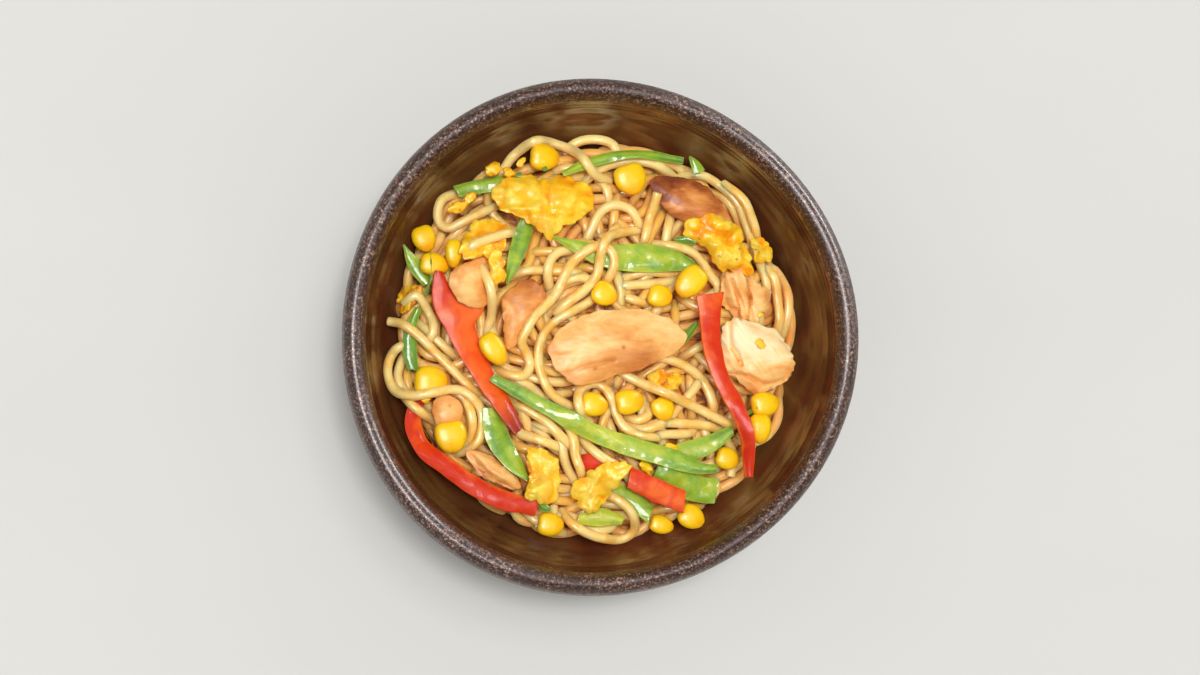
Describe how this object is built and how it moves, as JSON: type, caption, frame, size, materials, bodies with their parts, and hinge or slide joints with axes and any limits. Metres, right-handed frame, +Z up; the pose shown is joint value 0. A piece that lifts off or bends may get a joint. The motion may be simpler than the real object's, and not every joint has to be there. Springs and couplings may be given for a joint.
{
  "type": "bowl of yakisoba",
  "caption": "Round glazed bowl filled with yakisoba: fried noodles with chicken, egg, corn, red pepper and green pea pods.",
  "frame": {"origin": "middle of the bowl's foot, on the surface it stands on", "axes": "+Z up out of the bowl; +Y towards the far side of the bowl as it is served, +X to the right"},
  "size_m": [0.1547, 0.155, 0.066],
  "materials": {
    "bowl_glaze": "glossy amber brown glaze inside, satin speckled dark brown on the lip and outside",
    "noodle": "boiled and fried wheat noodles, moist, lightly oiled",
    "corn": "cooked sweet corn, moist and glossy",
    "egg": "scrambled egg, crinkled, soft sheen",
    "chicken": "cooked chicken with fine fibres and browned edges",
    "pepper": "cooked red pepper, glossy skin",
    "pod": "cooked green pea pod, waxy and glossy"
  },
  "bodies": {
    "root": {"bowl": "bowl_glaze", "chicken_cube_left": "chicken", "chicken_shreds_right": "chicken", "chicken_slice_back": "chicken", "chicken_slice_center": "chicken", "chicken_slice_left": "chicken", "chicken_slice_middle": "chicken", "chicken_slice_right": "chicken", "chicken_strip_front": "chicken", "corn_01": "corn", "corn_02": "corn", "corn_03": "corn", "corn_04": "corn", "corn_05": "corn", "corn_06": "corn", "corn_07": "corn", "corn_08": "corn", "corn_09": "corn", "corn_10": "corn", "corn_11": "corn", "corn_12": "corn", "corn_13": "corn", "corn_14": "corn", "corn_15": "corn", "corn_16": "corn", "corn_17": "corn", "corn_18": "corn", "corn_19": "corn", "corn_20": "corn", "egg_bit_center": "egg", "egg_bit_left": "egg", "egg_bit_right": "egg", "egg_curd_back": "egg", "egg_curd_front": "egg", "egg_curd_left": "egg", "egg_curd_right": "egg", "egg_fold_front": "egg", "egg_fringe_left": "egg", "noodles": "noodle", "pepper_arc_left": "pepper", "pepper_bit_front": "pepper", "pepper_strip_front": "pepper", "pepper_strip_left": "pepper", "pepper_strip_right": "pepper", "pod_end_left": "pod", "pod_half_right": "pod", "pod_leaf_center": "pod", "pod_piece_front": "pod", "pod_piece_front_right": "pod", "pod_sliver_center": "pod", "pod_strip_back": "pod", "pod_strip_back_left": "pod", "pod_strip_front": "pod", "pod_strip_front_left": "pod", "pod_strip_glossy": "pod", "pod_strip_middle": "pod", "pod_tip_left": "pod"}
  },
  "joints": []
}
